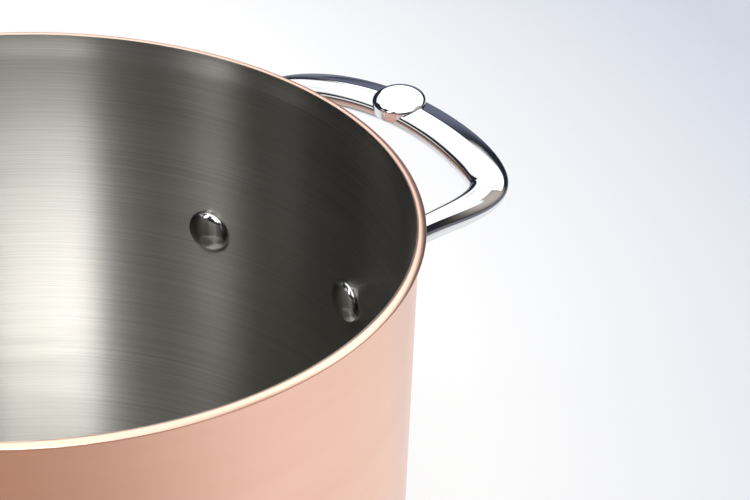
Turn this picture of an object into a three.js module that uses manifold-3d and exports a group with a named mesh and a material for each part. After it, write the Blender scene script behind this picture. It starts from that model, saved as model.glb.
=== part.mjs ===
// A tall copper stockpot with a bonded steel lining and two riveted loop handles.
// Millimetres, +Z up. The origin is the middle of the base, and the handles stand out along +X and -X.
import * as THREE from "three";
import { mergeVertices } from "three/addons/utils/BufferGeometryUtils.js";
import Module from "manifold-3d";

// Overall size of the pot
const POT_DIAMETER = 240;
const POT_HEIGHT = 200;

// Sheet: copper outside, steel inside, and the bond line between them
const COPPER_THICKNESS = 1.75;
const BOND_GAP = 0.05;
const LINING_THICKNESS = 0.2;
const BASE_CORNER_RADIUS = 14;

// Pouring lip: the wall swings out in an S curve and its outer edge is rounded
const LIP_FLARE = 1.15;
const LIP_HEIGHT = 3.4;
const LIP_EDGE_RADIUS = 0.7;

// Handle: a bar that runs round the pot, turns two corners and comes in on two legs
const BAR_OFFSET = 54.1;
const BAR_WIDTH = 13;
const BAR_THICKNESS = 8.2;
const BAR_CREST_DEPTH = 28.9;
const BAR_DROOP = 7.4;
const CORNER_SPREAD = 49;
const CORNER_SET_IN = 9.6;
const LEG_WIDTH = 8.6;
const LEG_THICKNESS = 6.4;
const LEG_ROOT_DEPTH = 57;
const SECTION_TILT_DEGREES = 8;
const SECTION_SQUARENESS = 2.5;

// Course of the bar's centre line: stops on the way from its middle out to the corner
const BAR_COURSE = [0, 0.4, 0.74];

// Course of a leg: shares of its way in, across and down from the corner to its root,
// and how far it has thinned by then
const LEG_COURSE = [
  { inward: 0, across: 0, down: 0, thinned: 0.1 },
  { inward: 0.24, across: 0, down: 0.15, thinned: 0.6 },
  { inward: 0.52, across: 0.36, down: 0.35, thinned: 1 },
  { inward: 0.81, across: 0.76, down: 0.68, thinned: 1 },
  { inward: 1, across: 1, down: 1, thinned: 0.7 },
];

// Medallion: a plain oval boss in the middle of the bar
const MEDALLION_LENGTH = 18.8;
const MEDALLION_WIDTH = 17;
const MEDALLION_THICKNESS = 6.4;
const MEDALLION_EDGE = 0.8;
const MEDALLION_PROUD = 1;
const MEDALLION_TILT_DEGREES = 10;

// Feet: pads curved to the wall, one rivet through each, their middle a little above it
const RIVET_SPACING = 65.4;
const RIVET_DEPTH = 66.3;
const FOOT_WIDTH = 20;
const FOOT_HEIGHT = 34;
const FOOT_RISE = 2;
const FOOT_THICKNESS = 4.5;
const FOOT_GAP = 0.3;

// Rivets: domed head inside the pot, low closing head outside
const RIVET_HEAD_DIAMETER = 15;
const RIVET_HEAD_HEIGHT = 3.2;
const RIVET_SHANK_DIAMETER = 7;
const RIVET_TAIL_DIAMETER = 11;
const RIVET_TAIL_HEIGHT = 1.6;
const RIVET_HOLE_CLEARANCE = 0.3;
const RIVET_SEAT_GAP = 0.3;

// How finely round shapes are cut
const POT_SEGMENTS = 64;
const RIVET_SEGMENTS = 20;
const LIP_STEPS = 4;
const CORNER_STEPS = 3;
const EDGE_STEPS = 2;
const DOME_STEPS = 3;
const PATH_STEPS = 64;
const SECTION_SIDES = 12;
const OUTLINE_STEPS = 12;

// Cutters reach this far past what they cut, and vertices this close are one
const CUT_MARGIN = 20;
const WELD_DISTANCE = 1e-4;

// Finishes
const SATIN_COPPER = { color: 0xd9a184, roughness: 0.3, metalness: 1 };
const BRUSHED_STEEL = { color: 0x8e8b87, roughness: 0.4, metalness: 1 };
const POLISHED_STEEL = { color: 0xd8d9dc, roughness: 0.08, metalness: 1 };

const potRadius = POT_DIAMETER / 2;
const liningOutside = COPPER_THICKNESS + BOND_GAP;
const wallThickness = liningOutside + LINING_THICKNESS;
const innerRadius = potRadius - wallThickness;
const rivetHeight = POT_HEIGHT - RIVET_DEPTH;
const rivetAngle = Math.asin(RIVET_SPACING / 2 / potRadius);
const footOutside = potRadius + FOOT_GAP + FOOT_THICKNESS;

const wasm = await Module();
wasm.setup();

// A closed geometry as a solid that can be joined and cut
function solidOf(geometry) {
  const bare = new THREE.BufferGeometry();
  bare.setAttribute("position", geometry.getAttribute("position"));
  bare.setIndex(geometry.index);
  const merged = mergeVertices(bare, WELD_DISTANCE);
  const triVerts = new Uint32Array(merged.index.array);
  const vertProperties = new Float32Array(merged.getAttribute("position").array);
  return new wasm.Manifold(new wasm.Mesh({ numProp: 3, vertProperties, triVerts }));
}

// The solid back as a geometry
function geometryOf(solid) {
  const mesh = solid.getMesh();
  const geometry = new THREE.BufferGeometry();
  geometry.setAttribute("position", new THREE.BufferAttribute(mesh.vertProperties, 3));
  geometry.setIndex(new THREE.BufferAttribute(mesh.triVerts, 1));
  geometry.computeVertexNormals();
  return geometry;
}

// Points on an arc, in order, both ends included
function arcPoints(centreX, centreY, radius, fromDegrees, toDegrees, steps) {
  const points = [];
  for (let i = 0; i <= steps; i++) {
    const angle = THREE.MathUtils.degToRad(THREE.MathUtils.lerp(fromDegrees, toDegrees, i / steps));
    points.push(new THREE.Vector2(centreX + radius * Math.cos(angle), centreY + radius * Math.sin(angle)));
  }
  return points;
}

// One face of the sheet at a given depth in from the outside: middle of the base, corner, wall and flared lip
function sheetFace(depth) {
  const points = [new THREE.Vector2(0, depth)];
  const corner = BASE_CORNER_RADIUS - depth;
  const centreX = potRadius - BASE_CORNER_RADIUS;
  points.push(...arcPoints(centreX, BASE_CORNER_RADIUS, corner, -90, 0, CORNER_STEPS));
  for (let i = 0; i <= LIP_STEPS; i++) {
    const along = i / LIP_STEPS;
    const swing = LIP_FLARE * THREE.MathUtils.smoothstep(along, 0, 1);
    points.push(new THREE.Vector2(potRadius - depth + swing, POT_HEIGHT - LIP_HEIGHT * (1 - along)));
  }
  return points;
}

// A closed profile turned about the pot's axis
function turned(profile) {
  return new THREE.LatheGeometry(profile, POT_SEGMENTS).rotateX(Math.PI / 2);
}

// Copper shell: outer face, rounded lip edge, flat rim, inner face
function copperProfile() {
  const outer = sheetFace(0);
  outer.pop();
  const lipRadius = potRadius + LIP_FLARE;
  const edge = arcPoints(
    lipRadius - LIP_EDGE_RADIUS,
    POT_HEIGHT - LIP_EDGE_RADIUS,
    LIP_EDGE_RADIUS,
    0,
    90,
    EDGE_STEPS,
  );
  return [...outer, ...edge, ...sheetFace(COPPER_THICKNESS).reverse()];
}

// Steel skin: its bonded face out to the rim, then its cooking face back to the middle of the base
function liningProfile() {
  return [...sheetFace(liningOutside), ...sheetFace(wallThickness).reverse()];
}

// A plain round cutter standing on the pot's axis
function axisCylinder(radius) {
  const height = POT_HEIGHT + 2 * CUT_MARGIN;
  const cylinder = new THREE.CylinderGeometry(radius, radius, height, POT_SEGMENTS);
  return cylinder.rotateX(Math.PI / 2).translate(0, 0, POT_HEIGHT / 2);
}

// Turns something modelled on the +X axis round the pot to where a rivet sits, on one side of the handle
function atRivet(geometry, side) {
  return geometry.rotateZ(side * rivetAngle).translate(0, 0, rivetHeight);
}

// Clearance hole for one rivet, through lining, wall and foot
function rivetHole(side) {
  const radius = RIVET_SHANK_DIAMETER / 2 + RIVET_HOLE_CLEARANCE;
  const hole = new THREE.CylinderGeometry(radius, radius, 2 * CUT_MARGIN, RIVET_SEGMENTS);
  return solidOf(atRivet(hole.rotateZ(-Math.PI / 2).translate(potRadius, 0, 0), side));
}

// The four holes in a sheet: two for each handle
function drilled(geometry) {
  let sheet = solidOf(geometry);
  for (const side of [-1, 1]) {
    const hole = rivetHole(side);
    sheet = sheet.subtract(hole).subtract(hole.rotate([0, 0, 180]));
  }
  return geometryOf(sheet);
}

// Half of the handle's centre line, from the middle of the bar to inside the wall.
// Each stop holds its place and the width and thickness of the bar there.
function handleHalf() {
  const barRadius = potRadius + BAR_OFFSET;
  const crest = POT_HEIGHT - BAR_CREST_DEPTH;
  const corner = new THREE.Vector3(barRadius - CORNER_SET_IN, CORNER_SPREAD, crest - BAR_DROOP);
  const rootY = RIVET_SPACING / 2;
  const root = new THREE.Vector3(Math.sqrt(potRadius ** 2 - rootY ** 2), rootY, POT_HEIGHT - LEG_ROOT_DEPTH);
  const between = THREE.MathUtils.lerp;
  const stopAt = (place, thinned) => ({
    place,
    width: between(BAR_WIDTH, LEG_WIDTH, thinned),
    thickness: between(BAR_THICKNESS, LEG_THICKNESS, thinned),
  });
  const stops = [];
  for (const share of BAR_COURSE) {
    const y = share * CORNER_SPREAD;
    const x = Math.sqrt(barRadius ** 2 - y ** 2);
    stops.push(stopAt(new THREE.Vector3(x, y, crest - BAR_DROOP * share ** 2), 0));
  }
  for (const { inward, across, down, thinned } of LEG_COURSE) {
    const x = between(corner.x, root.x, inward);
    const y = between(corner.y, root.y, across);
    stops.push(stopAt(new THREE.Vector3(x, y, between(corner.z, root.z, down)), thinned));
  }
  // The leg runs on past the wall, so that the cut leaves it flush with its foot
  const lastTwo = stops.slice(-2);
  const beyond = lastTwo[1].place.clone().multiplyScalar(2).sub(lastTwo[0].place);
  stops.push({ ...lastTwo[1], place: beyond });
  return stops;
}

// The bar: rounded sections lofted along the centre line, closed at both ends
function barGeometry() {
  const half = handleHalf();
  const other = half.slice(1).map((s) => ({ ...s, place: s.place.clone().setY(-s.place.y) }));
  const stops = [...other.reverse(), ...half];
  const curve = new THREE.CatmullRomCurve3(stops.map((s) => s.place));
  const tilt = THREE.MathUtils.degToRad(SECTION_TILT_DEGREES);
  const up = new THREE.Vector3(-Math.sin(tilt), 0, Math.cos(tilt));
  const positions = [];
  const rounded = (v) => Math.sign(v) * Math.abs(v) ** (2 / SECTION_SQUARENESS);
  for (let i = 0; i <= PATH_STEPS; i++) {
    const along = i / PATH_STEPS;
    const at = along * (stops.length - 1);
    const before = stops[Math.floor(at)];
    const after = stops[Math.ceil(at)];
    const share = at - Math.floor(at);
    const width = THREE.MathUtils.lerp(before.width, after.width, share);
    const thickness = THREE.MathUtils.lerp(before.thickness, after.thickness, share);
    const centre = curve.getPoint(along);
    const tangent = curve.getTangent(along);
    const across = new THREE.Vector3().crossVectors(tangent, up).normalize();
    const over = new THREE.Vector3().crossVectors(across, tangent);
    for (let k = 0; k < SECTION_SIDES; k++) {
      const angle = (2 * Math.PI * k) / SECTION_SIDES;
      const point = centre.clone();
      point.addScaledVector(across, (width / 2) * rounded(Math.cos(angle)));
      point.addScaledVector(over, (thickness / 2) * rounded(Math.sin(angle)));
      positions.push(point.x, point.y, point.z);
    }
  }
  const index = [];
  for (let i = 0; i < PATH_STEPS; i++) {
    for (let k = 0; k < SECTION_SIDES; k++) {
      const a = i * SECTION_SIDES + k;
      const b = i * SECTION_SIDES + ((k + 1) % SECTION_SIDES);
      index.push(a, a + SECTION_SIDES, b);
      index.push(b, a + SECTION_SIDES, b + SECTION_SIDES);
    }
  }
  const last = PATH_STEPS * SECTION_SIDES;
  for (let k = 1; k < SECTION_SIDES - 1; k++) {
    index.push(0, k, k + 1);
    index.push(last, last + k + 1, last + k);
  }
  const geometry = new THREE.BufferGeometry();
  geometry.setAttribute("position", new THREE.Float32BufferAttribute(positions, 3));
  geometry.setIndex(index);
  return geometry;
}

// The oval boss, its face a little proud of the bar and leaning back towards the pot
function medallionGeometry() {
  const outline = new THREE.Shape();
  const across = MEDALLION_WIDTH / 2 - MEDALLION_EDGE;
  const along = MEDALLION_LENGTH / 2 - MEDALLION_EDGE;
  outline.absellipse(0, 0, across, along, 0, 2 * Math.PI);
  const boss = new THREE.ExtrudeGeometry(outline, {
    depth: MEDALLION_THICKNESS - 2 * MEDALLION_EDGE,
    bevelThickness: MEDALLION_EDGE,
    bevelSize: MEDALLION_EDGE,
    bevelSegments: EDGE_STEPS,
    curveSegments: OUTLINE_STEPS,
  });
  const face = POT_HEIGHT - BAR_CREST_DEPTH + BAR_THICKNESS / 2 + MEDALLION_PROUD;
  boss.translate(0, 0, MEDALLION_EDGE - MEDALLION_THICKNESS);
  boss.rotateY(-THREE.MathUtils.degToRad(MEDALLION_TILT_DEGREES));
  return boss.translate(potRadius + BAR_OFFSET, 0, face);
}

// A foot: a pad with round ends, curved to the wall
function footSolid(side) {
  const outline = new THREE.Shape();
  const straight = (FOOT_HEIGHT - FOOT_WIDTH) / 2;
  outline.absarc(straight, 0, FOOT_WIDTH / 2, -Math.PI / 2, Math.PI / 2);
  outline.absarc(-straight, 0, FOOT_WIDTH / 2, Math.PI / 2, (3 * Math.PI) / 2);
  const pad = new THREE.ExtrudeGeometry(outline, {
    depth: CUT_MARGIN,
    bevelEnabled: false,
    curveSegments: OUTLINE_STEPS / 2,
  });
  pad.rotateY(Math.PI / 2).translate(potRadius - CUT_MARGIN / 2, 0, FOOT_RISE);
  return solidOf(atRivet(pad, side)).intersect(solidOf(axisCylinder(footOutside)));
}

// A whole handle: bar, medallion and feet joined, then cut clear of the wall and drilled
function handleGeometry() {
  let handle = solidOf(barGeometry()).add(solidOf(medallionGeometry()));
  for (const side of [-1, 1]) {
    handle = handle.add(footSolid(side));
  }
  handle = handle.subtract(solidOf(axisCylinder(potRadius + FOOT_GAP)));
  for (const side of [-1, 1]) {
    handle = handle.subtract(rivetHole(side));
  }
  return geometryOf(handle);
}

// A rivet along +X: domed head inside the lining, shank, low closing head outside the foot
function rivetGeometry() {
  const headRadius = RIVET_HEAD_DIAMETER / 2;
  const shankRadius = RIVET_SHANK_DIAMETER / 2;
  const tailRadius = RIVET_TAIL_DIAMETER / 2;
  const headSeat = Math.sqrt(innerRadius ** 2 - headRadius ** 2) - RIVET_SEAT_GAP;
  const tailSeat = footOutside + RIVET_SEAT_GAP;
  const dome = (radius, height, seat, direction) => {
    const points = [];
    for (let i = 0; i <= DOME_STEPS; i++) {
      const angle = ((Math.PI / 2) * i) / DOME_STEPS;
      points.push(new THREE.Vector2(radius * Math.sin(angle), seat + direction * height * Math.cos(angle)));
    }
    return points;
  };
  const profile = [
    ...dome(headRadius, RIVET_HEAD_HEIGHT, headSeat, -1),
    new THREE.Vector2(shankRadius, headSeat),
    new THREE.Vector2(shankRadius, tailSeat),
    ...dome(tailRadius, RIVET_TAIL_HEIGHT, tailSeat, 1).reverse(),
  ];
  return new THREE.LatheGeometry(profile, RIVET_SEGMENTS).rotateZ(-Math.PI / 2);
}

// One named piece with its own material
function piece(name, geometry, finish) {
  const mesh = new THREE.Mesh(geometry, new THREE.MeshStandardMaterial(finish));
  mesh.name = name;
  return mesh;
}

// One handle with its two rivets, in a group that is turned to its side of the pot
function mounting(label, turn) {
  const group = new THREE.Group();
  group.rotation.z = turn;
  group.add(piece(label + "_handle", handleGeometry(), POLISHED_STEEL));
  for (const side of [-1, 1]) {
    const end = side * Math.cos(turn) < 0 ? "front" : "rear";
    const rivet = piece(["rivet", label, end].join("_"), rivetGeometry(), POLISHED_STEEL);
    rivet.rotation.z = side * rivetAngle;
    rivet.position.z = rivetHeight;
    group.add(rivet);
  }
  return group;
}

const pot = new THREE.Group();
pot.add(piece("copper_body", drilled(turned(copperProfile())), SATIN_COPPER));
pot.add(piece("steel_lining", drilled(turned(liningProfile())), BRUSHED_STEEL));
pot.add(mounting("right", 0));
pot.add(mounting("left", Math.PI));

export default pot;
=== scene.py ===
# %% [markdown]
# A copper stockpot, finished for the eye.
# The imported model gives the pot's frame: every piece below is made in metres in that same frame, so nothing
# is fitted afterwards. The pot stands on z = 0 and its handles point along +X and -X. The pot's sizes are
# written in millimetres, as a maker would note them, and those of the studio round it in metres.

# %% Load the frame
import math

import bmesh
import bpy
import numpy as np
from mathutils import Matrix, Vector


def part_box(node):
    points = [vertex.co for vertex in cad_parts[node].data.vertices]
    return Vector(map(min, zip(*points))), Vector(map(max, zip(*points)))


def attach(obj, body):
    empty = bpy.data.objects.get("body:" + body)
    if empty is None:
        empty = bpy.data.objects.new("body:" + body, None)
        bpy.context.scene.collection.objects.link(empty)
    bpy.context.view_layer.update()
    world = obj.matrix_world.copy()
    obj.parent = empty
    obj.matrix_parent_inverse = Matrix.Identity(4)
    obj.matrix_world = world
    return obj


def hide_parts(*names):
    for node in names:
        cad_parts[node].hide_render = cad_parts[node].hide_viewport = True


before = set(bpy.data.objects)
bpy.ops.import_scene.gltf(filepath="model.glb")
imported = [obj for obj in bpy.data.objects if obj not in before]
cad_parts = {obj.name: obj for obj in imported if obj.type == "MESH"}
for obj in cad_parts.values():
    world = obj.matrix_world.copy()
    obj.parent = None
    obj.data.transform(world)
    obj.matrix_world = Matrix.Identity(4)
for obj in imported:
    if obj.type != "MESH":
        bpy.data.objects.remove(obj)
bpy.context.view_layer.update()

MM = 0.001

# %% [markdown]
# The sizes of the pot.
# The height comes straight from the frame. The sheet, the corner of the base and the flare of the lip
# follow the construction, so they are written here once, and every piece below takes them from here. The
# flare is drawn longer than it is wide, because a short one would catch the lamps as a bright ring under
# the rim.

# %% Sizes of the pot in millimetres
POT_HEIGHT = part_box("copper_body")[1].z / MM
POT_RADIUS = 120
COPPER_THICKNESS = 1.75
LINING_OUTSIDE = 1.8
WALL_THICKNESS = 2
BASE_CORNER = 14
LIP_FLARE = 1.15
LIP_HEIGHT = 9
print(f"pot {2 * POT_RADIUS} mm across and {POT_HEIGHT:.1f} mm high")

# %% [markdown]
# The camera.
# The pot was photographed with a long lens from a little above, close enough that it runs out of the
# picture. A camera could be placed by eye, but a long lens shows every degree, so it is set in four moves
# instead: it looks at the middle of the rim from a known distance and height, and is then turned in its own
# axes.

# %% Camera
VIEW_DISTANCE = 793.35
VIEW_ELEVATION = 29.81
HANDLE_TURN = 40.3
VIEW_PAN = -7.686
VIEW_TILT = -1.103
VIEW_ROLL = 1.927
LENS = 127.2


def direction(azimuth, elevation):
    """A unit vector: azimuth in degrees round from the camera's right, elevation above the floor."""
    turn = math.radians(azimuth - HANDLE_TURN)
    rise = math.radians(elevation)
    return Vector((math.cos(turn) * math.cos(rise), math.sin(turn) * math.cos(rise), math.sin(rise)))


def place_camera():
    data = bpy.data.cameras.new("camera")
    data.sensor_width = 36
    data.lens = LENS
    data.clip_start = 0.01
    data.clip_end = 100
    camera = bpy.data.objects.new("camera", data)
    bpy.context.scene.collection.objects.link(camera)
    back = direction(-90, VIEW_ELEVATION)
    stand = Vector((0, 0, POT_HEIGHT * MM)) + back * VIEW_DISTANCE * MM
    aim = (-back).to_track_quat("-Z", "Y").to_matrix()
    aim @= Matrix.Rotation(math.radians(VIEW_PAN), 3, "Y")
    aim @= Matrix.Rotation(math.radians(VIEW_TILT), 3, "X")
    aim @= Matrix.Rotation(math.radians(-VIEW_ROLL), 3, "Z")
    camera.matrix_world = Matrix.Translation(stand) @ aim.to_4x4()
    bpy.context.scene.camera = camera
    return camera


print("camera at", [round(v, 3) for v in place_camera().location])

# %% [markdown]
# Helpers for every finish.
# Colours are noted as sRGB hex, the way a swatch is, and Blender mixes light in linear values, so one
# function turns the first into the second. A second one adds a shader node with its settings, its values
# and its links, and a third starts an empty material.

# %% Helpers for materials


def linear(swatch):
    """sRGB hex to linear RGBA."""
    channels = [int(swatch[i:i + 2], 16) / 255 for i in (1, 3, 5)]
    return [c / 12.92 if c <= 0.04045 else ((c + 0.055) / 1.055) ** 2.4 for c in channels] + [1]


def add(tree, kind, inputs, **settings):
    """Adds a node: settings are its properties, inputs are values or sockets to link, by name or number."""
    made = tree.nodes.new("ShaderNode" + kind)
    for name, value in settings.items():
        setattr(made, name, value)
    for name, value in inputs.items():
        if isinstance(value, bpy.types.NodeSocket):
            tree.links.new(value, made.inputs[name])
        else:
            made.inputs[name].default_value = value
    return made


def new_material(name):
    material = bpy.data.materials.new(name)
    material.use_nodes = True
    material.node_tree.nodes.clear()
    return material, material.node_tree


print("helpers ready")

# %% [markdown]
# Brush lines that run round the pot.
# Both skins of the pot are finished on a spinning lathe: an abrasive pad leaves fine lines that run round
# the wall and in circles on the base. A noise that is stretched along those lines draws them. The way up
# the wall and the way out over the base are added into one length, so the lines go round the corner without
# a seam.

# %% Brush lines


def turned_lines(tree, length, width, detail):
    """A grey pattern of lines round the pot: their mean length and width in millimetres."""
    place = add(tree, "TexCoord", {}).outputs["Object"]
    flat = add(tree, "VectorMath", {0: place, 1: (1, 1, 0)}, operation="MULTIPLY").outputs["Vector"]
    out = add(tree, "VectorMath", {0: flat}, operation="LENGTH").outputs["Value"]
    split = add(tree, "SeparateXYZ", {"Vector": place}).outputs
    along = add(tree, "Math", {0: out, 1: split["Z"]}, operation="ADD").outputs["Value"]
    joined = add(tree, "CombineXYZ", {"X": split["X"], "Y": split["Y"], "Z": along}).outputs["Vector"]
    scale = (1 / (length * MM), 1 / (length * MM), 1 / (width * MM))
    stretched = add(tree, "VectorMath", {0: joined, 1: scale}, operation="MULTIPLY").outputs["Vector"]
    noise = {"Vector": stretched, "Scale": 1, "Detail": detail, "Roughness": 0.6}
    return add(tree, "TexNoise", noise).outputs["Fac"]


print("brush lines ready")

# %% [markdown]
# Satin copper.
# The outside is a sheet of copper, spun and then rubbed with a fine pad. The pad's lines run round the pot
# and blur what it mirrors, more up and down than sideways. A plain rough metal would blur both ways alike,
# so the shader is anisotropic, and the Tangent node tells it which way is round the pot. Real lines are
# about 0.05 mm wide, too fine to show at this distance, so they are drawn 0.35 mm wide and very faint.

# %% Copper
COPPER_COLOUR = "#F9CDB9"
COPPER_SHADE = "#F2C2AC"
COPPER_LINES = (60, 0.35)
COPPER_CLOUDS = (150, 9)
COPPER_ROUGHNESS = (0.26, 0.34)


def satin_copper():
    # Rubbed copper: the eye gets a warm pink sheen that slides softly round the pot, with no sharp image.
    material, tree = new_material("satin_copper")
    fine = turned_lines(tree, *COPPER_LINES, 2)
    broad = turned_lines(tree, *COPPER_CLOUDS, 2)
    colour = add(tree, "Mix", {0: broad, 6: linear(COPPER_SHADE), 7: linear(COPPER_COLOUR)}, data_type="RGBA")
    low, high = COPPER_ROUGHNESS
    rough = add(tree, "MapRange", {"Value": fine, "To Min": low, "To Max": high}).outputs["Result"]
    bump = add(tree, "Bump", {"Height": fine, "Strength": 0.05, "Distance": 0.2 * MM}).outputs["Normal"]
    around = add(tree, "Tangent", {}, direction_type="RADIAL", axis="Z").outputs["Tangent"]
    shader = add(tree, "BsdfPrincipled", {
        "Base Color": colour.outputs[2],
        "Metallic": 1,
        "Roughness": rough,
        "Anisotropic": 0.5,
        "Anisotropic Rotation": 0.25,
        "Tangent": around,
        "Normal": bump,
    })
    add(tree, "OutputMaterial", {"Surface": shader.outputs["BSDF"]})
    return material


COPPER = satin_copper()
print("made", COPPER.name)

# %% [markdown]
# Brushed stainless steel.
# The lining is a thin skin of stainless steel, brushed round and round. Each line is a tiny trough that
# throws light up and down the wall, so a lamp shows as a tall bright band and not as a spot. Near the rim
# the brushing is rubbed a little smoother, and one turned mark runs round the wall there. The real lines
# are finer than a pixel, so they are drawn 0.45 mm wide.

# %% Lining steel
LINING_LIGHT = "#B6B4AE"
LINING_DARK = "#A3A19B"
LINING_LINES = (90, 0.45)
LINING_BANDS = (160, 3.5)
LINING_ROUGHNESS = (0.36, 0.33)
LINING_UNEVEN = 0.04
RIM_ZONE = (158, 180)
TURNED_MARK = 169.6
MARK_REACH = 0.4


def brushed_steel():
    # Brushed stainless: the eye gets a cool grey wall with tall soft bands of light and fine level lines.
    material, tree = new_material("brushed_stainless_steel")
    fine = turned_lines(tree, *LINING_LINES, 3)
    broad = turned_lines(tree, *LINING_BANDS, 2)
    spread = add(tree, "MapRange", {"Value": fine, "From Min": 0.3, "From Max": 0.7}).outputs["Result"]
    colour = add(tree, "Mix", {0: spread, 6: linear(LINING_DARK), 7: linear(LINING_LIGHT)}, data_type="RGBA")
    place = add(tree, "TexCoord", {}).outputs["Object"]
    height = add(tree, "SeparateXYZ", {"Vector": place}).outputs["Z"]
    zone = {"Value": height, "From Min": RIM_ZONE[0] * MM, "From Max": RIM_ZONE[1] * MM}
    zone |= {"To Min": LINING_ROUGHNESS[0], "To Max": LINING_ROUGHNESS[1]}
    worn = add(tree, "MapRange", zone, interpolation_type="SMOOTHSTEP").outputs["Result"]
    swing = {"Value": broad, "To Min": -LINING_UNEVEN, "To Max": LINING_UNEVEN}
    uneven = add(tree, "MapRange", swing).outputs["Result"]
    rough = add(tree, "Math", {0: worn, 1: uneven}, operation="ADD").outputs["Value"]
    near = {0: height, 1: TURNED_MARK * MM, 2: MARK_REACH * MM}
    mark = add(tree, "Math", near, operation="COMPARE").outputs["Value"]
    cut = add(tree, "Math", {0: fine, 1: mark}, operation="SUBTRACT").outputs["Value"]
    bump = add(tree, "Bump", {"Height": cut, "Strength": 0.25, "Distance": 0.3 * MM}).outputs["Normal"]
    around = add(tree, "Tangent", {}, direction_type="RADIAL", axis="Z").outputs["Tangent"]
    shader = add(tree, "BsdfPrincipled", {
        "Base Color": colour.outputs[2],
        "Metallic": 1,
        "Roughness": rough,
        "Anisotropic": 1,
        "Anisotropic Rotation": 0.25,
        "Tangent": around,
        "Normal": bump,
    })
    add(tree, "OutputMaterial", {"Surface": shader.outputs["BSDF"]})
    return material


LINING_STEEL = brushed_steel()
print("made", LINING_STEEL.name)

# %% [markdown]
# Polished cast steel.
# The handles are cast in stainless steel and polished on a buffing wheel until they mirror the room. A
# casting is never quite flat: a slow swell of a few millimetres bends the reflections a little, and the
# wheel leaves a haze that is a touch uneven. The rivets are the same steel, struck with a hammer and
# polished less, so one function makes both from their own swell and haze.

# %% Handle and rivet steel
CAST_COLOUR = "#E4E5E8"
CAST_SWELL = 14
CAST_HAZE = (0.03, 0.08)
RIVET_COLOUR = "#CFCFCF"
RIVET_SWELL = 5
RIVET_HAZE = (0.08, 0.18)
SMEAR_SPACING = 3


def polished_steel(name, swatch, swell, haze):
    """Mirror steel: swell is the spacing of its slow waves in mm, haze its lowest and highest roughness."""
    # Polished steel: the eye gets the room itself, in white faces and dark lines that bend with the casting.
    material, tree = new_material(name)
    place = add(tree, "TexCoord", {}).outputs["Object"]
    slow = {"Vector": place, "Scale": 1 / (swell * MM), "Detail": 1}
    waves = add(tree, "TexNoise", slow).outputs["Fac"]
    fine = {"Vector": place, "Scale": 1 / (SMEAR_SPACING * MM), "Detail": 3}
    smear = add(tree, "TexNoise", fine).outputs["Fac"]
    rough = add(tree, "MapRange", {"Value": smear, "To Min": haze[0], "To Max": haze[1]}).outputs["Result"]
    bump = add(tree, "Bump", {"Height": waves, "Strength": 0.04, "Distance": 1 * MM}).outputs["Normal"]
    shader = add(tree, "BsdfPrincipled", {
        "Base Color": linear(swatch),
        "Metallic": 1,
        "Roughness": rough,
        "Normal": bump,
    })
    add(tree, "OutputMaterial", {"Surface": shader.outputs["BSDF"]})
    return material


CAST_STEEL = polished_steel("polished_cast_steel", CAST_COLOUR, CAST_SWELL, CAST_HAZE)
RIVET_STEEL = polished_steel("polished_rivet_steel", RIVET_COLOUR, RIVET_SWELL, RIVET_HAZE)
print("made", CAST_STEEL.name, RIVET_STEEL.name)

# %% [markdown]
# Turning a profile.
# The body, the lining and the rivets are all round, so each is a profile turned about an axis. Blender has
# a screw modifier for that, but writing the rings directly keeps the seam closed and the mesh tidy.

# %% Turning helpers
TURN_SEGMENTS = 288
SMOOTH_ANGLE = math.radians(32)


def finish_mesh(mesh, material):
    """Smooth shading with crisp edges where two faces really meet at an angle."""
    mesh.materials.append(material)
    mesh.shade_smooth()
    mesh.set_sharp_from_angle(angle=SMOOTH_ANGLE)
    return mesh


def new_object(name, data):
    made = bpy.data.objects.new(name, data)
    bpy.context.scene.collection.objects.link(made)
    return made


def turned(profile, segments):
    """Vertices and faces of a profile of (radius, height) points, its ends on the axis, turned about Z."""
    turns = np.linspace(0, 2 * math.pi, segments, endpoint=False)
    inner = np.array(profile[1:-1])
    rings = np.stack([
        np.outer(inner[:, 0], np.cos(turns)),
        np.outer(inner[:, 0], np.sin(turns)),
        np.repeat(inner[:, 1:2], segments, axis=1),
    ], axis=2)
    verts = [(0, 0, profile[0][1])] + rings.reshape(-1, 3).tolist() + [(0, 0, profile[-1][1])]
    last = len(verts) - 1
    faces = []
    for k in range(segments):
        after = (k + 1) % segments
        faces.append((0, 1 + after, 1 + k))
        for ring in range(len(inner) - 1):
            low = 1 + ring * segments
            faces.append((low + k, low + after, low + segments + after, low + segments + k))
        top = 1 + (len(inner) - 1) * segments
        faces.append((top + k, top + after, last))
    return np.array(verts), faces


def arc(centre, radii, start, end, steps):
    """Points on an arc of an ellipse, from one angle to another in degrees."""
    angles = np.radians(np.linspace(start, end, steps + 1))
    return [(centre[0] + radii[0] * math.cos(a), centre[1] + radii[1] * math.sin(a)) for a in angles]


def mesh_from(name, verts, faces, material):
    """A mesh in metres from vertices in millimetres."""
    mesh = bpy.data.meshes.new(name)
    mesh.from_pydata((np.asarray(verts) * MM).tolist(), [], faces)
    return finish_mesh(mesh, material)


print("turning", TURN_SEGMENTS, "segments")

# %% [markdown]
# The copper body.
# The wall stands straight up from a rounded base corner, and at the top the sheet is rolled out into a lip
# that pours cleanly. In section the lip is a short hollow, a small round edge, a slope and a tight dome. A
# bevel could round a plain rim, but the lip mirrors the room as one bright band, so each arc of it is
# drawn. The three angles say how far the surface leans back from upright at the lower end of the slope,
# where slope and dome meet, and inside.

# %% Copper body
RIM_ANGLES = (48, 75, 115)
RIM_SLOPE = 3.4
RIM_TOP = 1.7
RIM_EDGE = 0.4
RIM_HOLLOW = 1.5
FLARE_STEPS = 16
HOLLOW_STEPS = 12


def eased(along):
    """A share of the way with a soft start and a soft end."""
    return 3 * along ** 2 - 2 * along ** 3


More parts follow.
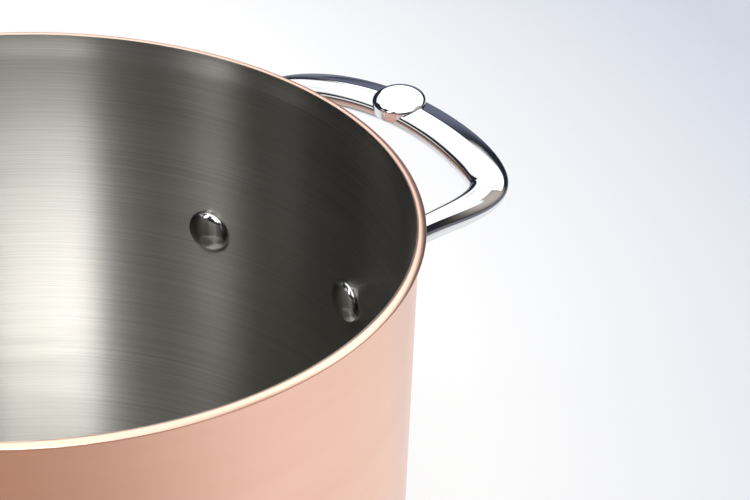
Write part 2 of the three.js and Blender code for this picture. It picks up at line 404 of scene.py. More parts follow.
def wall_inside(depth):
    """An inner face of the sheet from the rim down to the middle of the base, at a depth from the outside."""
    radius = POT_RADIUS - depth
    points = []
    for along in np.linspace(1, 0, FLARE_STEPS + 1):
        swing = LIP_FLARE * eased(along)
        points.append((radius + swing, POT_HEIGHT - LIP_HEIGHT * (1 - along)))
    corner = BASE_CORNER - depth
    centre = (POT_RADIUS - BASE_CORNER, BASE_CORNER)
    points += arc(centre, (corner, corner), 0, -90, 16)
    return points + [(0, depth)]


def copper_profile():
    outer = [(0, 0)]
    outer += arc((POT_RADIUS - BASE_CORNER, BASE_CORNER), (BASE_CORNER, BASE_CORNER), -90, 0, 20)
    inside = POT_RADIUS - COPPER_THICKNESS + LIP_FLARE
    low, bend, high = (math.radians(angle) for angle in RIM_ANGLES)
    top = np.array([inside - RIM_TOP * math.cos(high), POT_HEIGHT - RIM_TOP])
    slope = top - (RIM_SLOPE - RIM_TOP) * np.array([math.cos(bend), math.sin(bend)])
    edge = slope + (RIM_SLOPE - RIM_EDGE) * np.array([math.cos(low), math.sin(low)])
    for along in np.linspace(0, 1, HOLLOW_STEPS + 1)[:-1]:
        swing = (edge[0] + RIM_EDGE - POT_RADIUS) * eased(along)
        outer.append((POT_RADIUS + swing, edge[1] - RIM_HOLLOW * (1 - along)))
    outer += arc(edge, (RIM_EDGE, RIM_EDGE), 0, RIM_ANGLES[0], 6)
    outer += arc(slope, (RIM_SLOPE, RIM_SLOPE), *RIM_ANGLES[:2], 10)[1:]
    outer += arc(top, (RIM_TOP, RIM_TOP), *RIM_ANGLES[1:], 12)[1:]
    return outer + wall_inside(COPPER_THICKNESS)[1:]


def copper_body():
    verts, faces = turned(copper_profile(), TURN_SEGMENTS)
    body = new_object("body_copper", mesh_from("body_copper", verts, faces, COPPER))
    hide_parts("copper_body")
    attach(body, "root")
    return body


BODY = copper_body()
print(BODY.name, len(BODY.data.polygons), "faces")

# %% [markdown]
# The steel lining.
# The lining is bonded to the copper and follows it from the rim to the base. Its edge shows as a fine line
# on the inside of the rim, where the copper's dome ends, so its two corners there are just broken.

# %% Steel lining
EDGE_BREAK = 0.06
LINING_TOP = POT_HEIGHT - 0.14


def lining_profile():
    outer = wall_inside(LINING_OUTSIDE)[::-1]
    inner = wall_inside(WALL_THICKNESS)
    outer[-1] = (outer[-1][0], LINING_TOP - EDGE_BREAK)
    inner[0] = (inner[0][0], LINING_TOP - EDGE_BREAK)
    edge = [(outer[-1][0] - EDGE_BREAK, LINING_TOP), (inner[0][0] + EDGE_BREAK, LINING_TOP)]
    return outer + edge + inner


def steel_lining():
    verts, faces = turned(lining_profile(), TURN_SEGMENTS)
    lining = new_object("lining_steel", mesh_from("lining_steel", verts, faces, LINING_STEEL))
    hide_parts("steel_lining")
    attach(lining, "root")
    return lining


LINING = steel_lining()
print(LINING.name, len(LINING.data.polygons), "faces")

# %% [markdown]
# The course of a handle.
# One casting runs along the pot, turns a corner at each end and comes in on a leg that spreads into a foot.
# Its centre line passes through a few stops, each with its own width and thickness. The stops of the leg
# are shares of the way from the corner to the foot: inward, along the pot, down, and how far the bar has
# thinned to the leg. A smooth curve through the stops, then a running average along it, leaves no kink that
# a mirror finish would show.

# %% Handle course
BAR_OFFSET = 54.1
BAR_WIDTH = 15.2
BAR_THICKNESS = 8.2
BAR_CREST = POT_HEIGHT - 28.9
BAR_DROOP = 7.4
CORNER_SPREAD = 49.6
CORNER_SET_IN = 9.6
LEG_WIDTH = 8.6
LEG_THICKNESS = 7.1
LEG_ROOT = POT_HEIGHT - 57
RIVET_SPACING = 65.4
RIVET_HEIGHT = POT_HEIGHT - 66.3
BAR_COURSE = [0, 0.4, 0.74]
LEG_COURSE = [
    (0, 0, 0, 0.2), (0.24, 0, 0.15, 0.65), (0.52, 0.36, 0.35, 1), (0.81, 0.76, 0.68, 1), (1, 1, 1, 0.7),
]
COURSE_STEPS = 40
AVERAGE_PASSES = 480


def handle_stops():
    """Stops (x, y, z, width, thickness) from one end of the handle to the other."""
    bar_radius = POT_RADIUS + BAR_OFFSET
    corner = np.array([bar_radius - CORNER_SET_IN, CORNER_SPREAD, BAR_CREST - BAR_DROOP])
    root_y = RIVET_SPACING / 2
    root = np.array([math.sqrt(POT_RADIUS ** 2 - root_y ** 2), root_y, LEG_ROOT])
    bar = np.array([BAR_WIDTH, BAR_THICKNESS])
    leg = np.array([LEG_WIDTH, LEG_THICKNESS])
    half = []
    for share in BAR_COURSE:
        y = share * CORNER_SPREAD
        half.append([math.sqrt(bar_radius ** 2 - y ** 2), y, BAR_CREST - BAR_DROOP * share ** 2, *bar])
    for inward, across, down, thinned in LEG_COURSE:
        place = corner + (root - corner) * (inward, across, down)
        half.append([*place, *(bar + (leg - bar) * thinned)])
    half = np.array(half)
    beyond = half[-1].copy()
    beyond[:3] = 2 * half[-1, :3] - half[-2, :3]
    half = np.vstack([half, beyond])
    return np.vstack([half[:0:-1] * (1, -1, 1, 1, 1), half])


def smooth_course(stops):
    """A centripetal curve through the stops, then a running average that keeps its two ends."""
    padded = np.vstack([2 * stops[0] - stops[1], stops, 2 * stops[-1] - stops[-2]])
    spans = np.sqrt(np.linalg.norm(np.diff(padded[:, :3], axis=0), axis=1))
    points = []
    for i in range(1, len(padded) - 2):
        p0, p1, p2, p3 = padded[i - 1:i + 3]
        a, b, c = spans[i - 1:i + 2]
        start = ((p1 - p0) / a - (p2 - p0) / (a + b) + (p2 - p1) / b) * b
        end = ((p2 - p1) / b - (p3 - p1) / (b + c) + (p3 - p2) / c) * b
        for t in np.arange(COURSE_STEPS)[:, None] / COURSE_STEPS:
            points.append((2 * t ** 3 - 3 * t ** 2 + 1) * p1 + (t ** 3 - 2 * t ** 2 + t) * start
                          + (3 * t ** 2 - 2 * t ** 3) * p2 + (t ** 3 - t ** 2) * end)
    course = np.vstack(points + [padded[-2:-1]])
    for _ in range(AVERAGE_PASSES):
        course[1:-1] = (course[:-2] + 2 * course[1:-1] + course[2:]) / 4
    return course


COURSE = smooth_course(handle_stops())
print("handle course", len(COURSE), "points")

# %% [markdown]
# The sections of the handle.
# Each point of the course carries a section. On the bar it is broad, with a sloping outer side and a
# rounded inner one; on the leg it is narrow and nearly round, and between them one turns slowly into the
# other. A circle could be squashed to such forms, but the white and dark lines on the bar follow its exact
# outline, so the two outlines are written as sixteen corners each, in millimetres out from the pot and up,
# and a smooth curve is held by them.

# %% Handle sections
SECTION_TILT = math.radians(8)
BAR_OUTLINE = [
    (8, 0.6), (7.3, 1.75), (4.5, 2.8), (1.6, 3.75), (0.2, 4.2), (-1.6, 4.3), (-4.4, 3.75), (-7.2, 2.6),
    (-8, 1.2), (-8.1, 0.2), (-8, -0.9), (-7.2, -2.2), (-4.7, -3.5), (-0.5, -4.3), (3.8, -3.5), (7.2, -1.2),
]
LEG_OUTLINE = [
    (4.2, -1.8), (3.9, 0.1), (3.2, 1.9), (2.2, 3.2), (0.7, 3.9), (-0.9, 4), (-2, 3.7), (-3.1, 2.6),
    (-3.5, 1.7), (-3.65, 0.6), (-3.65, -0.5), (-3.4, -1.8), (-2.2, -3.5), (0, -4.4), (2.3, -4.2), (3.8, -3.3),
]
SIDES_PER_CORNER = 8
SECTION_SIDES = SIDES_PER_CORNER * len(BAR_OUTLINE)
THINNING_POWER = 2.5


def rounded(outline):
    """A smooth closed curve held by the corners of an outline."""
    b = np.array(outline, float)
    a, c, d = (np.roll(b, shift, axis=0) for shift in (1, -1, -2))
    u = np.linspace(0, 1, SIDES_PER_CORNER, endpoint=False)[:, None, None]
    curve = (1 - u) ** 3 * a + (3 * u ** 3 - 6 * u ** 2 + 4) * b
    curve += (1 + 3 * u + 3 * u ** 2 - 3 * u ** 3) * c + u ** 3 * d
    return curve.transpose(1, 0, 2).reshape(-1, 2) / 6


def bar_rings():
    """One ring of points for each point of the course."""
    centre = COURSE[:, :3]
    tangent = np.gradient(centre, axis=0)
    tangent /= np.linalg.norm(tangent, axis=1)[:, None]
    up = np.array([-math.sin(SECTION_TILT), 0, math.cos(SECTION_TILT)])
    across = np.cross(tangent, up)
    across /= np.linalg.norm(across, axis=1)[:, None]
    over = np.cross(across, tangent)
    bar = rounded(BAR_OUTLINE) / (BAR_WIDTH, BAR_THICKNESS)
    leg = rounded(LEG_OUTLINE) / (LEG_WIDTH, LEG_THICKNESS)
    thinned = np.clip((BAR_WIDTH - COURSE[:, 3]) / (BAR_WIDTH - LEG_WIDTH), 0, 1)
    form = (1 - (1 - thinned) ** THINNING_POWER)[:, None, None]
    outline = (bar * (1 - form) + leg * form) * COURSE[:, None, 3:]
    return centre[:, None] + across[:, None] * outline[:, :, :1] + over[:, None] * outline[:, :, 1:]


RINGS = bar_rings()
print("handle sections", len(RINGS), "rings of", SECTION_SIDES)

# %% [markdown]
# The outline of a foot.
# A foot is a plate with round ends that is bent to the wall and held by one rivet. It is easiest to think
# of it flat, as distances round the wall and up from the rivet, so two helpers go from flat to the wall and
# back, and a third finds how far the plate reaches in any direction.

# %% Foot on the wall
FOOT_GAP = 0.3
FOOT_OUTSIDE = POT_RADIUS + 4.8
FOOT_WIDTH = 20
FOOT_HEIGHT = 34
FOOT_RISE = 2
FOOT_EDGE = 1.4
HALVINGS = 40


def on_wall(radius, flat):
    """Points on a wall of that radius, from distances (round the wall, up) to the rivet."""
    middle = math.asin(RIVET_SPACING / 2 / POT_RADIUS)
    turn = middle + flat[:, 0] / FOOT_OUTSIDE
    return np.stack([radius * np.cos(turn), radius * np.sin(turn), RIVET_HEIGHT + flat[:, 1]], axis=1)


def off_wall(points):
    """The distances (round the wall, up) from the rivet to each point."""
    middle = math.asin(RIVET_SPACING / 2 / POT_RADIUS)
    round_wall = (np.arctan2(points[:, 1], points[:, 0]) - middle) * FOOT_OUTSIDE
    return np.stack([round_wall, points[:, 2] - RIVET_HEIGHT], axis=1)


def foot_reach(start, ways, inset):
    """How far it is from a point inside the foot's outline, set in by inset, to the outline each way."""
    radius = FOOT_WIDTH / 2 - inset
    straight = (FOOT_HEIGHT - FOOT_WIDTH) / 2
    near = np.zeros(len(ways))
    far = np.full(len(ways), float(FOOT_HEIGHT))
    for _ in range(HALVINGS):
        middle = (near + far) / 2
        spot = start + ways * middle[:, None] - (0, FOOT_RISE)
        spot[:, 1] -= np.clip(spot[:, 1], -straight, straight)
        inside = np.linalg.norm(spot, axis=1) < radius
        near = np.where(inside, middle, near)
        far = np.where(inside, far, middle)
    return near


print("foot", FOOT_WIDTH, "by", FOOT_HEIGHT, "mm")

# %% [markdown]
# From leg to foot.
# On a casting the leg runs into its foot through a small fillet. Two solids and a boolean would leave a
# hard crease there, so the skin of the leg is not cut off but spread: each line along the leg rolls out
# through the fillet, runs over the foot, round its edge and in under it, so leg and foot are one surface.

# %% Leg into foot
FILLET = 2.6
FILLET_LEAD = 12
FOOT_SHARE = 0.97
LEAD_RINGS = 16
FILLET_RINGS = 12
FOOT_RINGS = 4
EDGE_RINGS = 8
BACK_SHARES = (1, 0.66, 0.33)


def leg_meets(rings, radius):
    """Where each line along the leg crosses a wall of that radius, as a place in the list of rings."""
    out = np.linalg.norm(rings[:, :, :2], axis=2)
    first = np.argmax(out < radius, axis=0)
    lines = np.arange(SECTION_SIDES)
    before = out[first - 1, lines]
    after = out[first, lines]
    return first - 1 + (before - radius) / (before - after)


def at_place(rings, place):
    """A ring read off between the rings, each of its points at its own place."""
    low = np.floor(place).astype(int)
    share = (place - low)[:, None]
    lines = np.arange(SECTION_SIDES)
    return rings[low, lines] * (1 - share) + rings[low + 1, lines] * share


def leg_and_foot(rings):
    """Rings of one half of the handle, from its middle to the back of its foot."""
    fillet_place = leg_meets(rings, FOOT_OUTSIDE + FILLET)
    touch = at_place(rings, leg_meets(rings, FOOT_OUTSIDE))
    keep = int(fillet_place.min()) - FILLET_LEAD
    made = list(rings[:keep + 1])
    for share in np.linspace(0, 1, LEAD_RINGS + 1)[1:]:
        made.append(at_place(rings, keep + (fillet_place - keep) * share))
    begin = made[-1]
    flat = off_wall(touch)
    core = flat.mean(axis=0)
    spread = flat - core
    size = np.linalg.norm(spread, axis=1)
    ways = spread / size[:, None]
    rim = foot_reach(core, ways, FOOT_EDGE)
    reach = np.minimum(size + FILLET, FOOT_SHARE * rim)
    end = on_wall(FOOT_OUTSIDE, core + ways * reach[:, None])
    hold = on_wall(FOOT_OUTSIDE, core + ways * np.minimum(size, reach)[:, None])
    for t in np.linspace(0, 1, FILLET_RINGS + 1)[1:]:
        made.append((1 - t) ** 2 * begin + 2 * t * (1 - t) * hold + t ** 2 * end)
    for share in np.linspace(0, 1, FOOT_RINGS + 2)[1:-1]:
        made.append(on_wall(FOOT_OUTSIDE, core + ways * (reach + (rim - reach) * share)[:, None]))
    for bend in np.radians(np.linspace(0, 90, EDGE_RINGS + 1)):
        inset = FOOT_EDGE * (1 - math.sin(bend))
        drop = FOOT_EDGE * (1 - math.cos(bend))
        outline = foot_reach(core, ways, inset)
        made.append(on_wall(FOOT_OUTSIDE - drop, core + ways * outline[:, None]))
    back = foot_reach(core, ways, 0)
    for share in BACK_SHARES:
        made.append(on_wall(POT_RADIUS + FOOT_GAP, core + ways * (back * share)[:, None]))
    return made


HALF_SKIN = leg_and_foot(RINGS[len(RINGS) // 2:])
print("half a handle", len(HALF_SKIN), "rings")

# %% [markdown]
# The closed skin.
# The two halves of the handle are alike, so the second is the first mirrored. The rings are joined by faces
# with four sides, and the backs of the two feet are closed with a fan.

# %% Handle skin


def handle_skin():
    """Vertices and faces of bar, legs and feet as one closed skin."""
    other = [ring * (1, -1, 1) for ring in HALF_SKIN[:0:-1]]
    skin = np.array(other + HALF_SKIN)
    verts = skin.reshape(-1, 3)
    first = skin[0].mean(axis=0)
    last = skin[-1].mean(axis=0)
    verts = np.vstack([verts, first, last])
    faces = []
    for k in range(SECTION_SIDES):
        after = (k + 1) % SECTION_SIDES
        for ring in range(len(skin) - 1):
            low = ring * SECTION_SIDES
            faces.append((low + k, low + SECTION_SIDES + k, low + SECTION_SIDES + after, low + after))
        faces.append((k, after, len(verts) - 2))
        top = (len(skin) - 1) * SECTION_SIDES
        faces.append((top + after, top + k, len(verts) - 1))
    return verts, faces


SKIN = handle_skin()
print("handle skin", len(SKIN[1]), "faces")

# %% [markdown]
# The medallion.
# A plain oval boss stands on the middle of the bar: a thick coin with a softly rounded edge, leaned back a
# little. It is turned like the body and drawn out to an oval. The union with the bar is a boolean, because
# on the casting the crease between the two is crisp, and a last pass removes the faces that a boolean can
# leave without any area.

# %% Medallion and whole handle
MEDALLION_LENGTH = 18.8
MEDALLION_WIDTH = 17.8
MEDALLION_THICKNESS = 5.6
MEDALLION_EDGE = (3.2, 1.8)
MEDALLION_BACK = 0.8
MEDALLION_PROUD = 1.2
MEDALLION_SET_IN = 1.4
MEDALLION_TILT = math.radians(10)
MEDALLION_SEGMENTS = 96
CREASE_ANGLE = math.radians(18)
NO_AREA = 0.002


def medallion():
    """Vertices and faces of the boss, its face at the top of the bar."""
    reach, drop = MEDALLION_EDGE
    outline = [(0, -MEDALLION_THICKNESS)]
    outline += arc((-MEDALLION_BACK, MEDALLION_BACK - MEDALLION_THICKNESS), (MEDALLION_BACK,) * 2, -90, 0, 6)
    outline += arc((-reach, -drop), MEDALLION_EDGE, 0, 90, 16)
    outline.append((0, 0))
    verts, faces = turned([(1, height) for _, height in outline], MEDALLION_SEGMENTS)
    for ring, (step, _) in enumerate(outline[1:-1]):
        part = slice(1 + ring * MEDALLION_SEGMENTS, 1 + (ring + 1) * MEDALLION_SEGMENTS)
        verts[part, 0] *= MEDALLION_WIDTH / 2 + step
        verts[part, 1] *= MEDALLION_LENGTH / 2 + step
    lean = np.array(Matrix.Rotation(-MEDALLION_TILT, 3, "Y"))
    place = (POT_RADIUS + BAR_OFFSET - MEDALLION_SET_IN, 0, BAR_CREST + BAR_THICKNESS / 2 + MEDALLION_PROUD)
    return verts @ lean.T + place, faces


def joined(first, second):
    """One mesh that is the union of two closed ones."""
    target = new_object("handle_join", first)
    tool = new_object("medallion_join", second)
    union = target.modifiers.new("union", "BOOLEAN")
    union.operation = "UNION"
    union.solver = "EXACT"
    union.object = tool
    depsgraph = bpy.context.evaluated_depsgraph_get()
    mesh = bpy.data.meshes.new_from_object(target.evaluated_get(depsgraph))
    bpy.data.objects.remove(target)
    bpy.data.objects.remove(tool)
    clean = bmesh.new()
    clean.from_mesh(mesh)
    bmesh.ops.dissolve_degenerate(clean, dist=NO_AREA * MM, edges=clean.edges)
    clean.to_mesh(mesh)
    clean.free()
    return mesh


def whole_handle():
    bar = mesh_from("bar", *SKIN, CAST_STEEL)
    boss = mesh_from("boss", *medallion(), CAST_STEEL)
    mesh = joined(bar, boss)
    mesh.shade_smooth()
    mesh.set_sharp_from_angle(angle=CREASE_ANGLE)
    return mesh


def place_handles():
    mesh = whole_handle()
    for label, turn in (("right", 0), ("left", math.pi)):
        copy = mesh.copy()
        copy.transform(Matrix.Rotation(turn, 4, "Z"))
        handle = new_object(f"handle_{label}", copy)
        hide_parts(f"{label}_handle")
        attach(handle, "root")
        print(handle.name, len(copy.polygons), "faces")


place_handles()

# %% [markdown]
# The rivets.
# Each handle is held by two steel rivets: a domed head inside the pot and a low closing head outside the
# foot. They are turned like the body, laid on their side and swung round to their place on the wall.

# %% Rivets
RIVET_HEAD = (7.5, 3.2)
RIVET_TAIL = (5.5, 1.6)
RIVET_SHANK = 3.5
RIVET_SKIRT = 0.3
RIVET_SINK = 0.1
HEAD_SEAT = math.sqrt((POT_RADIUS - WALL_THICKNESS) ** 2 - RIVET_HEAD[0] ** 2) - RIVET_SKIRT
TAIL_SEAT = FOOT_OUTSIDE + RIVET_SKIRT
RIVET_SEGMENTS = 64


def rivet_profile():
    """From the top of the inner head out along the shank to the top of the outer one."""
    head = [(x, HEAD_SEAT + y) for x, y in arc((0, 0), (RIVET_HEAD[0], -RIVET_HEAD[1]), 90, 0, 20)]
    skirt = [(RIVET_HEAD[0], POT_RADIUS - WALL_THICKNESS)]
    shank = [(RIVET_SHANK, POT_RADIUS - WALL_THICKNESS), (RIVET_SHANK, FOOT_OUTSIDE - RIVET_SINK)]
    foot = [(RIVET_TAIL[0], FOOT_OUTSIDE - RIVET_SINK)]
    tail = [(x, TAIL_SEAT + y) for x, y in arc((0, 0), RIVET_TAIL, 0, 90, 12)]
    head[0] = (0, head[0][1])
    tail[-1] = (0, tail[-1][1])
    return head + skirt + shank + foot + tail


def place_rivets():
    angle = math.degrees(math.asin(RIVET_SPACING / 2 / POT_RADIUS))
    verts, faces = turned(rivet_profile(), RIVET_SEGMENTS)
    lay = Matrix.Rotation(math.pi / 2, 4, "Y")
    for label, turn in (("right", 0), ("left", 180)):
        for end, side in (("front", -1), ("rear", 1)):
            swing = turn + side * angle if label == "right" else turn - side * angle
            mesh = mesh_from(f"rivet_{label}_{end}", verts, faces, RIVET_STEEL)
            mesh.transform(Matrix.Rotation(math.radians(swing), 4, "Z") @ lay)
            mesh.transform(Matrix.Translation((0, 0, RIVET_HEIGHT * MM)))
            rivet = new_object(f"rivet_steel_{label}_{end}", mesh)
            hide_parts(f"rivet_{label}_{end}")
            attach(rivet, "root")
            print(rivet.name, len(mesh.polygons), "faces")


place_rivets()

# %% [markdown]
# The floor that the camera sees.
# The pot stands on a smooth pale sheet of paper with a pool of light painted into its colour: white round
# the pot, turning to a cool grey further off, where the painted light falls away. More light would make it
# paler, but it would also wash out the pot. So the paper is lit at a plain level, and for the camera's own
# rays part of its colour is its own light, while the rest keeps the pot's shadow.

# %% Paper for the camera
# Painted pool of light on the paper: its colour inside the pool and further off, its middle and its size in
# metres.
PAPER_PAINTED_POOL = "#FDFDFD"
PAPER_PAINTED_FALLOFF = "#CFD4E1"
LIGHT_POOL_MIDDLE = (-0.56, 0.22)
LIGHT_POOL_SIZE = (0.74, 0.98)
SELF_LIT = 0.75


def on_floor(right, away):
    """A place on the floor in metres, to the camera's right and away from it."""
    return direction(0, 0) * right + direction(90, 0) * away


def seen_paper(tree, place):
    # Matt paper: the eye gets a pale ground, a painted pool of light round the pot, and the pot's soft
    # shadow.
    middle = {0: place, 1: on_floor(*LIGHT_POOL_MIDDLE)}
    to_light_pool = add(tree, "VectorMath", middle, operation="DISTANCE").outputs["Value"]
    fade = {"Value": to_light_pool, "From Min": LIGHT_POOL_SIZE[0], "From Max": LIGHT_POOL_SIZE[1]}
    far = add(tree, "MapRange", fade).outputs["Result"]
    tones = {0: far, 6: linear(PAPER_PAINTED_POOL), 7: linear(PAPER_PAINTED_FALLOFF)}
    colour = add(tree, "Mix", tones, data_type="RGBA").outputs[2]
    paper = add(tree, "BsdfDiffuse", {"Color": colour}).outputs["BSDF"]
    glow = add(tree, "Emission", {"Color": colour, "Strength": 1}).outputs["Emission"]
    camera = add(tree, "LightPath", {}).outputs["Is Camera Ray"]
    share = add(tree, "Math", {0: camera, 1: SELF_LIT}, operation="MULTIPLY").outputs["Value"]
    return add(tree, "MixShader", {0: share, 1: paper, 2: glow}).outputs["Shader"]


print("paper from", PAPER_PAINTED_POOL, "to", PAPER_PAINTED_FALLOFF)

# %% [markdown]
# The floor that the metal sees.
# Polished metal also mirrors the parts of the floor that are out of the picture. For those rays the floor
# glows with painted light and shade: warm, dim painted shade on the camera's side, white painted light
# behind the pot, a painted shadow close to the pot's foot, and a painted dark floor beyond the sheet's edge.
# That edge draws the dark line along the handle, and the warm painted shade gives the copper its deep tone.

# %% Painted floor light and shade for the reflections
# Painted reflection of the floor: painted shade on the camera's side, painted light behind the pot.
MIRRORED_PAINTED_SHADE = "#B69F90"
MIRRORED_PAINTED_LIGHT = "#FFFFFF"
# Painted dark floor beyond the sheet's edge, seen only in the metal's reflections.
PAINTED_DARK_FRONT = "#655B53"
PAINTED_DARK_BACK = "#868A97"
BACK_HEADING = 60
BACK_SWING = (-1.2, 0.15)
SHEET_HEADING = 80
SHEET_BACK = 0.75
SHEET_RADIUS = 0.62
SHEET_EDGE = (0.94, 1.08)
# Painted shadow round the pot's foot in the mirrored floor: its span in metres and its darkest level.
FOOT_PAINTED_SHADOW = (0.12, 0.22)
FOOT_SHADOW_LEVEL = 0.3


# The floor as polished metal sees it, glowing with painted light and painted shade.
def painted_mirrored_floor(tree, place):
    heading = add(tree, "VectorMath", {0: place}, operation="NORMALIZE").outputs["Vector"]
    toward = {0: heading, 1: direction(BACK_HEADING, 0)}
    facing = add(tree, "VectorMath", toward, operation="DOT_PRODUCT").outputs["Value"]
    swing = {"Value": facing, "From Min": BACK_SWING[0], "From Max": BACK_SWING[1]}
    back = add(tree, "MapRange", swing, interpolation_type="SMOOTHSTEP").outputs["Result"]
    near = {0: back, 6: linear(MIRRORED_PAINTED_SHADE), 7: linear(MIRRORED_PAINTED_LIGHT)}
    sheet = add(tree, "Mix", near, data_type="RGBA").outputs[2]
    off = {0: back, 6: linear(PAINTED_DARK_FRONT), 7: linear(PAINTED_DARK_BACK)}
    beyond = add(tree, "Mix", off, data_type="RGBA").outputs[2]
    behind = {0: place, 1: direction(SHEET_HEADING, 0)}
    away = add(tree, "VectorMath", behind, operation="DOT_PRODUCT").outputs["Value"]
    out = add(tree, "VectorMath", {0: place}, operation="LENGTH").outputs["Value"]
    to_back = add(tree, "Math", {0: away, 1: SHEET_BACK}, operation="DIVIDE").outputs["Value"]
    to_side = add(tree, "Math", {0: out, 1: SHEET_RADIUS}, operation="DIVIDE").outputs["Value"]
    reach = add(tree, "Math", {0: to_back, 1: to_side}, operation="MAXIMUM").outputs["Value"]
    end = {"Value": reach, "From Min": SHEET_EDGE[0], "From Max": SHEET_EDGE[1]}
    edge = add(tree, "MapRange", end, interpolation_type="SMOOTHSTEP").outputs["Result"]
    around = add(tree, "Mix", {0: edge, 6: sheet, 7: beyond}, data_type="RGBA").outputs[2]
    foot = {"Value": out, "From Min": FOOT_PAINTED_SHADOW[0], "From Max": FOOT_PAINTED_SHADOW[1], "To Min": FOOT_SHADOW_LEVEL}
    shade = add(tree, "MapRange", foot, interpolation_type="SMOOTHSTEP").outputs["Result"]
    return add(tree, "Emission", {"Color": around, "Strength": shade}).outputs["Emission"]


def floor_paper():
    material, tree = new_material("pale_floor_paper")
    place = add(tree, "NewGeometry", {}).outputs["Position"]
    glossy = add(tree, "LightPath", {}).outputs["Is Glossy Ray"]
    parts = {0: glossy, 1: seen_paper(tree, place), 2: painted_mirrored_floor(tree, place)}
    both = add(tree, "MixShader", parts).outputs["Shader"]
    add(tree, "OutputMaterial", {"Surface": both})
    return material


PAPER = floor_paper()
print("made", PAPER.name)

# %% [markdown]
# The sheet itself.
# A wide disc is enough for a floor, because its edge lies far outside the picture. It sits a hair below the
# pot's base, so the two flat faces do not lie in one plane, which would flicker.

# %% Floor
FLOOR_RADIUS = 6
FLOOR_DROP = 0.0002


def floor_sheet():
    mesh = bpy.data.meshes.new("floor")
    shape = bmesh.new()
    bmesh.ops.create_circle(shape, cap_ends=True, segments=96, radius=FLOOR_RADIUS)
    shape.to_mesh(mesh)
    shape.free()
    mesh.materials.append(PAPER)
    floor = new_object("floor", mesh)
    floor.location.z = -FLOOR_DROP


floor_sheet()
print("floor", 2 * FLOOR_RADIUS, "m across")

# %% [markdown]
# The studio.
# Polished metal shows what stands round it, so the light is built as the room that the pot sees. Area lamps
# would do, but a dome with soft boxes painted on it shows its whole plan in one table: where each box
# stands round the pot, its half width and its lower and upper edge in degrees, how soft its edge is, how
# bright it is and its tint. White boxes make the bright faces, and the dark cloth between them gives the
# metal its dark lines. The camera looks through the dome at a plain pale background.

# %% Soft boxes
CLOTH = "#262A33"
WHITE = "#FFFFFF"
WARM = "#FFF4E8"
COOL = "#D6DCFF"
BOXES = {
    "canopy": {"azimuth": 90, "half": 180, "low": 57, "high": 100, "edge": 4, "level": 1.7, "tint": WHITE},
    "front": {"azimuth": 262, "half": 32, "low": 40, "high": 100, "edge": 4, "level": 1.8, "tint": WHITE},
    "back": {"azimuth": 50, "half": 45, "low": 29, "high": 62, "edge": 2, "level": 2, "tint": WHITE},
    "back_left": {"azimuth": 112, "half": 16, "low": 34, "high": 62, "edge": 2, "level": 1.3, "tint": WHITE},
    "back_high": {"azimuth": 142, "half": 20, "low": 46, "high": 62, "edge": 2, "level": 1.3, "tint": WHITE},
    "left": {"azimuth": 203, "half": 4, "low": 26, "high": 62, "edge": 3, "level": 7.3, "tint": WHITE},
    "left_strip": {"azimuth": 180, "half": 5, "low": 18, "high": 36, "edge": 3, "level": 1, "tint": WHITE},
    "right": {"azimuth": 306, "half": 18, "low": 40, "high": 62, "edge": 8, "level": 1.8, "tint": WHITE},
    "wall_right": {"azimuth": 336, "half": 30, "low": 12, "high": 66, "edge": 20, "level": 0.6, "tint": WARM},
    "wall_back": {"azimuth": 76, "half": 14, "low": 2, "high": 24, "edge": 7, "level": 0.26, "tint": COOL},
}

print("soft boxes", ", ".join(BOXES))

# %% [markdown]
# The light of the dome.
# A place on the dome is seen by how high it stands and which way it faces. Each box rises from 0 to 1 over
# its lower edge, falls again over its upper one and does the same to its sides, and the product of those is
# its shape. Where boxes overlap, the brighter one counts.

# %% Studio dome
DOME_RADIUS = 5.9
HORIZON_SLACK = 0.0001


def sine(degrees):
    return math.sin(math.radians(min(degrees, 90)))


def cosine(degrees):
    return math.cos(math.radians(degrees))


def box_edges(box):
    """Where a box starts and ends: its rise, its fall and its sides, each as the two ends of a soft step."""
    edge = box["edge"]
    rise = (sine(box["low"] - edge), sine(box["low"] + edge))
    fall = (sine(box["high"] - edge), sine(box["high"] + edge)) if box["high"] < 90 else None
    sides = (cosine(box["half"] + edge), cosine(box["half"] - edge)) if box["half"] < 180 else None
    return rise, fall, sides


def studio_light():
    # Soft boxes before dark cloth: the eye gets clean white faces on the steel, with dark lines beside them.
    material, tree = new_material("studio_light")
    place = add(tree, "NewGeometry", {}).outputs["Position"]
    way = add(tree, "VectorMath", {0: place}, operation="NORMALIZE").outputs["Vector"]
    rise = add(tree, "SeparateXYZ", {"Vector": way}).outputs["Z"]
    level = add(tree, "VectorMath", {0: way, 1: (1, 1, 0)}, operation="MULTIPLY").outputs["Vector"]
    heading = add(tree, "VectorMath", {0: level}, operation="NORMALIZE").outputs["Vector"]
    total = linear(CLOTH)[:3]
    for box in BOXES.values():
        ahead = {0: heading, 1: direction(box["azimuth"], 0)}
        turn = add(tree, "VectorMath", ahead, operation="DOT_PRODUCT").outputs["Value"]
        shape = 1
        for value, ends, start in zip((rise, rise, turn), box_edges(box), (0, 1, 0)):
            if ends:
                step = {"Value": value, "From Min": ends[0], "From Max": ends[1]}
                step |= {"To Min": start, "To Max": 1 - start}
                side = add(tree, "MapRange", step, interpolation_type="SMOOTHSTEP").outputs["Result"]
                shape = add(tree, "Math", {0: shape, 1: side}, operation="MULTIPLY").outputs["Value"]
        full = [channel * box["level"] for channel in linear(box["tint"])[:3]]
        lit = add(tree, "VectorMath", {0: full, "Scale": shape}, operation="SCALE").outputs["Vector"]
        total = add(tree, "VectorMath", {0: total, 1: lit}, operation="MAXIMUM").outputs["Vector"]
    light = add(tree, "Emission", {"Color": total, "Strength": 1}).outputs["Emission"]
    add(tree, "OutputMaterial", {"Surface": light})
    return material


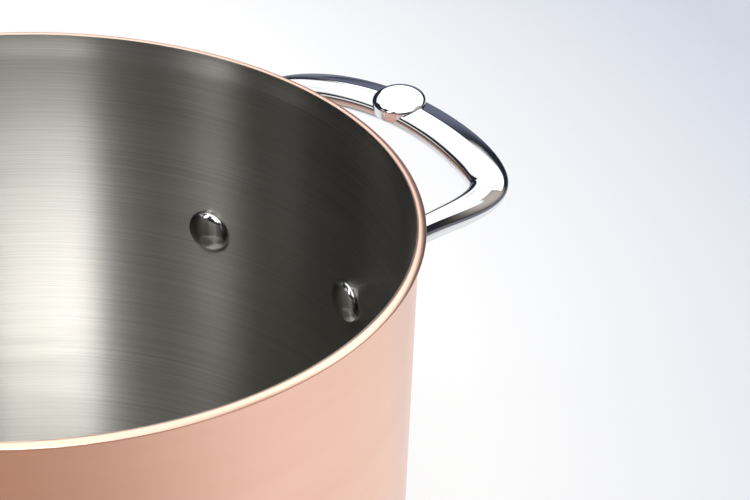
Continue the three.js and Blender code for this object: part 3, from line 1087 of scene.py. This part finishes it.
def studio_dome():
    mesh = bpy.data.meshes.new("studio_dome")
    shape = bmesh.new()
    bmesh.ops.create_uvsphere(shape, u_segments=64, v_segments=32, radius=DOME_RADIUS)
    below = [v for v in shape.verts if v.co.z < -HORIZON_SLACK]
    bmesh.ops.delete(shape, geom=below, context="VERTS")
    shape.to_mesh(mesh)
    shape.free()
    mesh.materials.append(studio_light())
    dome = new_object("studio_dome", mesh)
    dome.visible_camera = False


studio_dome()
print("dome with", len(BOXES), "soft boxes")

# %% [markdown]
# The lamps that shine into the pot.
# The soft boxes reach only the top of a deep pot. A row of small lamps stands behind the camera and looks
# over the near rim. The round wall mirrors each of them to the camera from one strip, half way round, so
# each is aimed at its own strip. Each has a snoot, a tube with a slot, that keeps its beam tall and narrow:
# a wider beam would bounce across the pot and light the dark wall on the right. A lamp that is scaled in X
# throws such a narrow beam.

# %% Snooted lamps
SNOOT_AZIMUTHS = (247, 253, 260, 268, 276)
SNOOT_ELEVATION = 38
SNOOT_DISTANCE = 1.5
SNOOT_BEAM = 5.8
SNOOT_SLOT = 0.4
SNOOT_RADIUS = 0.05
SNOOT_WATTS = 81
SNOOT_DEPTH = 107


def snooted_lamps():
    for azimuth in SNOOT_AZIMUTHS:
        target = direction((azimuth - 90) / 2, 0) * (POT_RADIUS - WALL_THICKNESS) * MM
        target.z = (POT_HEIGHT - SNOOT_DEPTH) * MM
        data = bpy.data.lights.new(f"snoot_{azimuth}", "SPOT")
        data.energy = SNOOT_WATTS
        data.shadow_soft_size = SNOOT_RADIUS
        data.spot_size = math.radians(SNOOT_BEAM)
        data.spot_blend = 1
        lamp = new_object(data.name, data)
        way = direction(azimuth, SNOOT_ELEVATION)
        lamp.location = target + way * SNOOT_DISTANCE
        lamp.scale.x = SNOOT_SLOT
        lamp.rotation_euler = way.to_track_quat("Z", "Y").to_euler()


snooted_lamps()
print("lamps", len(SNOOT_AZIMUTHS))

# %% [markdown]
# The background and the colours on screen.
# Where the floor ends the camera sees a plain pale world, and the picture uses the standard view, so a
# colour is shown as it was written.

# %% World and view
WORLD_COLOUR = "#E9EBF1"

world = bpy.data.worlds.new("pale_background")
world.use_nodes = True
world.node_tree.nodes["Background"].inputs["Color"].default_value = linear(WORLD_COLOUR)
bpy.context.scene.world = world
bpy.context.scene.view_settings.view_transform = "Standard"
print("view", bpy.context.scene.view_settings.view_transform)
